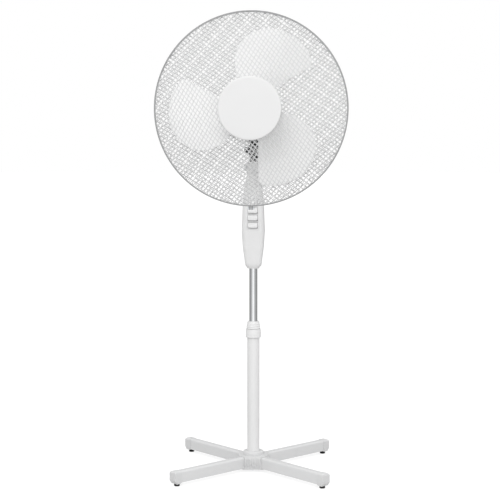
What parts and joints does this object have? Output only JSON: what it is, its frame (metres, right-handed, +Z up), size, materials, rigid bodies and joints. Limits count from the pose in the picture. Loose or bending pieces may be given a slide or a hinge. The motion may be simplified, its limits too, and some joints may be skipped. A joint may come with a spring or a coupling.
{
  "type": "pedestal fan",
  "caption": "White pedestal fan with a cross base, telescopic column, keyed control box and an oscillating head behind a round wire-mesh guard.",
  "frame": {"origin": "on the floor, under the axis of the column", "axes": "+Z up along the column; the fan blows towards -Y; +X is to the right of a person who looks at its front"},
  "size_m": [0.434, 0.358, 1.058],
  "materials": {
    "white_plastic": "satin moulded",
    "white_steel": "gloss paint",
    "base_steel": "gloss paint",
    "base_plastic": "satin moulded",
    "guard_steel": "gloss paint",
    "ring_steel": "satin paint",
    "disc_plastic": "satin moulded",
    "blade_plastic": "translucent moulded",
    "chromed_steel": "polished",
    "black_plastic": "fine grain",
    "foot_rubber": "matt",
    "zinc_steel": "zinc plated",
    "lamination": "laminated",
    "cast_aluminium": "die cast",
    "black_casting": "black paint",
    "copper_wire": "enamelled",
    "bronze": "sintered",
    "nylon": "moulded"
  },
  "bodies": {
    "base": {"leg_front_left": "base_steel", "leg_front_right": "base_steel", "leg_rear_left": "base_steel", "leg_rear_right": "base_steel", "end_cap_front_left": "base_plastic", "end_cap_front_right": "base_plastic", "end_cap_rear_left": "base_plastic", "end_cap_rear_right": "base_plastic", "rubber_feet": "foot_rubber", "base_hub": "base_plastic", "hub_plate": "base_plastic", "hub_screws": "zinc_steel", "column_bolt": "zinc_steel", "base_collar": "white_plastic", "lower_tube": "white_steel", "tube_sleeve": "white_plastic", "collet": "nylon"},
    "clamp_nut": {"clamp_nut": "white_plastic"},
    "tube_guide": {"tube_guide": "black_plastic"},
    "mast": {"upper_tube": "chromed_steel", "control_front_shell": "white_plastic", "control_rear_shell": "white_plastic", "shell_screws": "zinc_steel", "switch_block": "black_plastic", "run_capacitor": "black_plastic", "cable_gland": "black_plastic", "tilt_bolt": "zinc_steel"},
    "key_0": {"key_0": "white_plastic"},
    "key_1": {"key_1": "white_plastic"},
    "key_2": {"key_2": "white_plastic"},
    "key_3": {"key_3": "white_plastic"},
    "tilt_bracket": {"tilt_bracket": "black_plastic"},
    "link": {"link_arm": "zinc_steel"},
    "motor": {"pivot_casting": "black_casting", "pivot_clip": "zinc_steel", "motor_front_shell": "white_plastic", "motor_rear_shell": "white_plastic", "front_bell": "cast_aluminium", "stator_core": "lamination", "stator_windings": "copper_wire", "gearbox_case": "nylon", "gearbox_cover": "nylon", "motor_bearings": "bronze", "rear_guard": "guard_steel", "guard_nut": "white_plastic", "guard_ring": "ring_steel", "ring_clip_screw": "zinc_steel", "front_guard": "guard_steel", "centre_disc": "disc_plastic", "disc_screw": "zinc_steel"},
    "rotor": {"rotor": "lamination", "motor_shaft": "zinc_steel", "worm": "bronze", "blade": "blade_plastic", "blade_nut": "white_plastic"},
    "wheel": {"worm_wheel": "nylon"},
    "crank": {"crank_gear": "nylon", "crank": "zinc_steel"},
    "knob": {"oscillation_knob": "white_plastic"}
  },
  "joints": [
    {"name": "column_height", "type": "slide", "parent": "base", "child": "tube_guide", "axis": [0, 0, 1], "range_m": [-0.115, 0.12]},
    {"name": "column_swivel", "type": "hinge", "parent": "tube_guide", "child": "mast", "pos_m": [0, 0, 0.17], "axis": [0, 0, 1], "continuous": true},
    {"name": "clamp_turn", "type": "hinge", "parent": "base", "child": "clamp_nut", "pos_m": [0, 0, 0.34], "axis": [0, 0, 1], "range_deg": [-180, 0]},
    {"name": "key_0_press", "type": "slide", "parent": "mast", "child": "key_0", "axis": [0, 1, 0], "range_m": [0, 0.004], "stiffness_N_per_m": 500},
    {"name": "key_1_press", "type": "slide", "parent": "mast", "child": "key_1", "axis": [0, 1, 0], "range_m": [0, 0.004], "stiffness_N_per_m": 500},
    {"name": "key_2_press", "type": "slide", "parent": "mast", "child": "key_2", "axis": [0, 1, 0], "range_m": [0, 0.004], "stiffness_N_per_m": 500},
    {"name": "key_3_press", "type": "slide", "parent": "mast", "child": "key_3", "axis": [0, 1, 0], "range_m": [0, 0.004], "stiffness_N_per_m": 500},
    {"name": "head_tilt", "type": "hinge", "parent": "mast", "child": "tilt_bracket", "pos_m": [0, 0.01, 0.708], "axis": [1, 0, 0], "range_deg": [-25, 12]},
    {"name": "head_swing", "type": "hinge", "parent": "tilt_bracket", "child": "motor", "pos_m": [0, 0.02, 0.76], "axis": [0, 0, 1], "range_deg": [-40, 40]},
    {"name": "link_swing", "type": "hinge", "parent": "tilt_bracket", "child": "link", "pos_m": [0.022, 0.02, 0.762], "axis": [0, 0, 1], "range_deg": [-40, 40]},
    {"name": "blade_spin", "type": "hinge", "parent": "motor", "child": "rotor", "pos_m": [0, -0.1, 0.841], "axis": [0, -1, 0], "continuous": true},
    {"name": "wheel_turn", "type": "hinge", "parent": "motor", "child": "wheel", "pos_m": [0.0157, 0.05, 0.841], "axis": [0, 0, 1], "continuous": true},
    {"name": "crank_turn", "type": "hinge", "parent": "motor", "child": "crank", "pos_m": [0, 0.05, 0.8], "axis": [0, 0, 1], "continuous": true},
    {"name": "knob_pull", "type": "slide", "parent": "motor", "child": "knob", "axis": [0, 0, 1], "range_m": [0, 0.006]}
  ],
  "couplings": [
    {"joint": "link_swing", "follows": "head_swing", "ratio": 1},
    {"joint": "wheel_turn", "follows": "blade_spin", "ratio": -0.045455},
    {"joint": "crank_turn", "follows": "blade_spin", "ratio": 0.01581}
  ]
}
